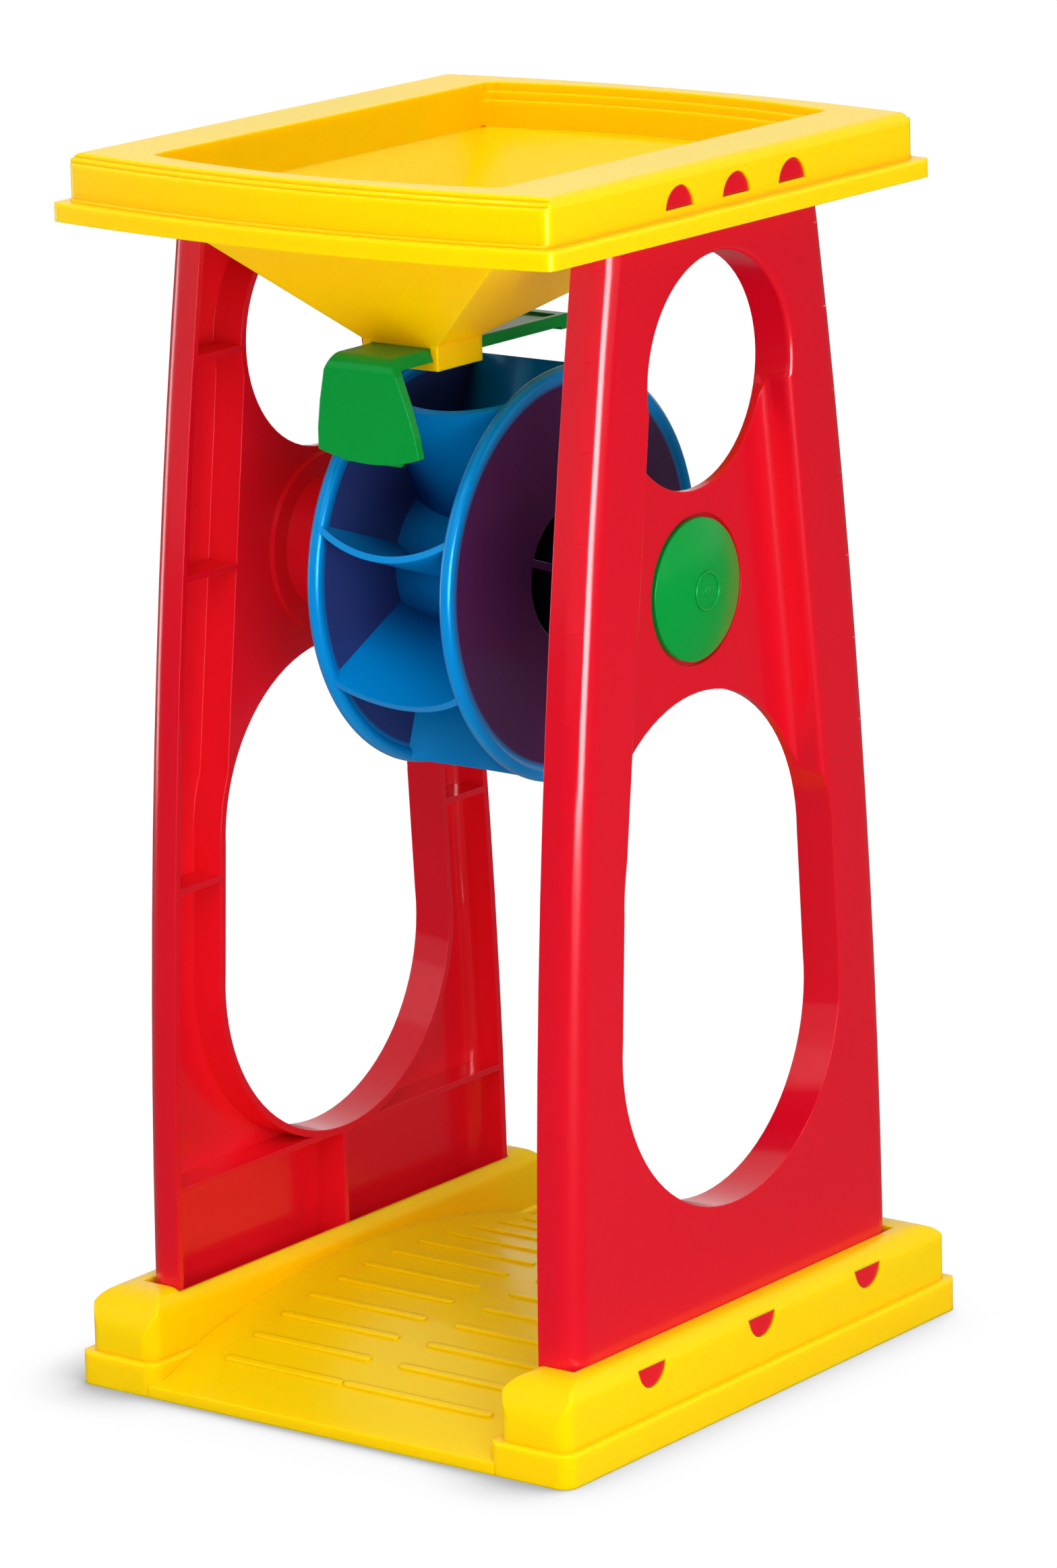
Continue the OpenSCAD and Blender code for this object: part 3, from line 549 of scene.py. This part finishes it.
paper_link(shadow.outputs[0], seen.inputs[1])
paper_shader.inputs["Emission Color"].default_value = (1.0, 1.0, 1.0, 1.0)
paper_link(seen.outputs[0], paper_shader.inputs["Emission Strength"])
# Painted reflection: in the toy's gloss the paper shows as a dim grey instead of its white.
painted_reflection_tone = paper_nodes.new("ShaderNodeMix")
painted_reflection_tone.data_type = "RGBA"
painted_reflection_tone.inputs["A"].default_value = (paper_white, paper_white, paper_white, 1.0)
painted_reflection_tone.inputs["B"].default_value = (paper_reflection_grey, paper_reflection_grey, paper_reflection_grey, 1.0)
paper_link(rays.outputs["Is Glossy Ray"], painted_reflection_tone.inputs["Factor"])
paper_tone = paper_nodes.new("ShaderNodeMix")
paper_tone.data_type = "RGBA"
paper_tone.inputs["B"].default_value = (0.0, 0.0, 0.0, 1.0)
paper_link(rays.outputs["Is Camera Ray"], paper_tone.inputs["Factor"])
paper_link(painted_reflection_tone.outputs["Result"], paper_tone.inputs["A"])
paper_link(paper_tone.outputs["Result"], paper_shader.inputs["Base Color"])
clear = paper_nodes.new("ShaderNodeBsdfTransparent")
paper_side = paper_nodes.new("ShaderNodeNewGeometry")
paper_sides = paper_nodes.new("ShaderNodeMixShader")
paper_link(paper_side.outputs["Backfacing"], paper_sides.inputs[0])
paper_link(paper_shader.outputs["BSDF"], paper_sides.inputs[1])
paper_link(clear.outputs["BSDF"], paper_sides.inputs[2])
paper_link(paper_sides.outputs[0], paper_nodes["Material Output"].inputs["Surface"])
floor.data.materials.append(paper)


# Light
# A dim room that looks white to the camera and in reflections, a broad lamp overhead, and soft
# ones in front, on both sides and low under the funnel. The cards give no diffuse light and only
# show in the gloss: they draw the highlights along the rounded edges.
room_light = 0.5
room_white = 1.0
world = bpy.data.worlds.new("studio")
bpy.context.scene.world = world
world.use_nodes = True
world_nodes = world.node_tree.nodes
world_link = world.node_tree.links.new
room = world_nodes["Background"]
room.inputs["Color"].default_value = (1.0, 1.0, 1.0, 1.0)
room_rays = world_nodes.new("ShaderNodeLightPath")
room_seen = world_nodes.new("ShaderNodeMath")
room_seen.operation = "MAXIMUM"
world_link(room_rays.outputs["Is Camera Ray"], room_seen.inputs[0])
world_link(room_rays.outputs["Is Glossy Ray"], room_seen.inputs[1])
room_level = world_nodes.new("ShaderNodeMapRange")
room_level.inputs["To Min"].default_value = room_light
room_level.inputs["To Max"].default_value = room_white
world_link(room_seen.outputs[0], room_level.inputs["Value"])
world_link(room_level.outputs[0], room.inputs["Strength"])


def lamp(name, azimuth, elevation, distance, width, height, power, aim=0.2):
    """A rectangular soft lamp at a direction and distance from the toy, aimed at a height."""
    data = bpy.data.lights.new(name, "AREA")
    data.shape = "RECTANGLE"
    data.size = width
    data.size_y = height
    data.energy = power
    target = Vector((0.0, 0.0, aim))
    direction = towards(math.radians(azimuth), math.radians(elevation))
    body = bpy.data.objects.new(name, data)
    bpy.context.scene.collection.objects.link(body)
    body.location = target + direction * distance
    body.rotation_euler = direction.to_track_quat("Z", "Y").to_euler()
    return body


lamp("top_lamp", azimuth=20, elevation=78, distance=1.8, width=1.4, height=1.4, power=12.0)
lamp("key_lamp", azimuth=30, elevation=40, distance=2.2, width=1.4, height=1.4, power=17.0)
lamp("left_lamp", azimuth=-50, elevation=25, distance=2.0, width=1.0, height=1.0, power=3.0)
lamp("right_lamp", azimuth=95, elevation=15, distance=1.8, width=1.2, height=1.2, power=4.1)
lamp("low_lamp", azimuth=56, elevation=-4, distance=0.9, width=0.4, height=0.3, power=2.9,
     aim=0.3)
cards = (
    lamp("edge_card", azimuth=62, elevation=-3, distance=1.0, width=0.2, height=0.4, power=7.0,
         aim=0.34),
    lamp("halo_card", azimuth=62, elevation=-3, distance=1.0, width=0.5, height=0.4, power=13.0,
         aim=0.34),
    lamp("left_card", azimuth=-78, elevation=-3, distance=1.0, width=0.3, height=0.3, power=1.5,
         aim=0.25),
    lamp("top_card", azimuth=37, elevation=72, distance=1.2, width=0.3, height=0.3, power=24.0,
         aim=0.25),
)
for card in cards:
    card.visible_diffuse = False
